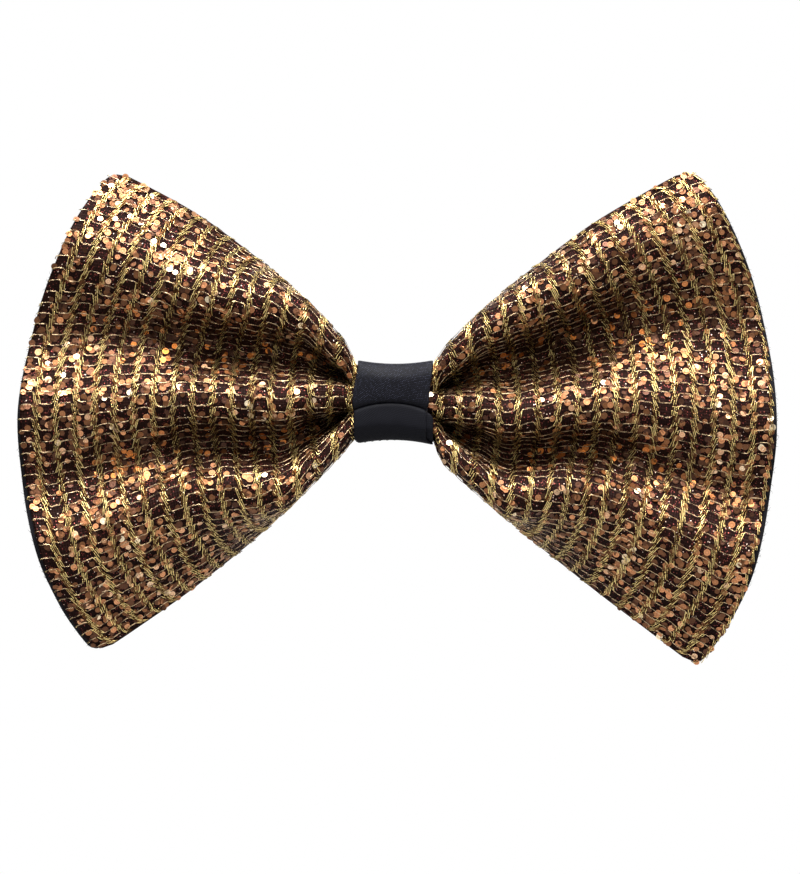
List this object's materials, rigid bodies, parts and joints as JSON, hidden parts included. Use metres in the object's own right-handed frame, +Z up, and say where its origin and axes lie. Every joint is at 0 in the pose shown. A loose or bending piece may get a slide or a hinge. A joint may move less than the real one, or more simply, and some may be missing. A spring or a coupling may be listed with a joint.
{
  "type": "cheer hair bow",
  "caption": "Gathered glitter-cloth hair bow with black backing and a satin knot band, bound to a sprung steel hair clip.",
  "frame": {"origin": "on the bow's centre line, in the hair slot between the knot band's back and the clip's lower arm", "axes": "+X along the bow to the viewer's right, -Y out of the bow's front, +Z up as worn"},
  "size_m": [0.1393, 0.0276, 0.0897],
  "materials": {
    "glitter_cloth": "dark brown cloth with copper glitter and gold metallic thread",
    "backing_cloth": "matt black woven backing",
    "satin_ribbon": "navy black satin twill ribbon",
    "grosgrain": "ribbed black ribbon",
    "thread": "black polyester sewing thread",
    "clip_steel": "nickel plated spring steel"
  },
  "bodies": {
    "bow": {"glitter_panel": "glitter_cloth", "backing_panel": "backing_cloth", "gathering_thread": "thread", "knot_band": "satin_ribbon", "clip_lining": "grosgrain", "clip_upper_arm": "clip_steel", "clip_pin": "clip_steel", "clip_spring": "clip_steel"},
    "clip_jaw": {"clip_lower_arm": "clip_steel"}
  },
  "joints": [
    {"name": "clip_hinge", "type": "hinge", "parent": "bow", "child": "clip_jaw", "pos_m": [0.013, 0.0004, 0], "axis": [0, 0, -1], "range_deg": [0, 28], "stiffness_Nm_per_rad": 0.03, "springref_deg": -28.65, "deforming": ["clip_spring"]}
  ]
}
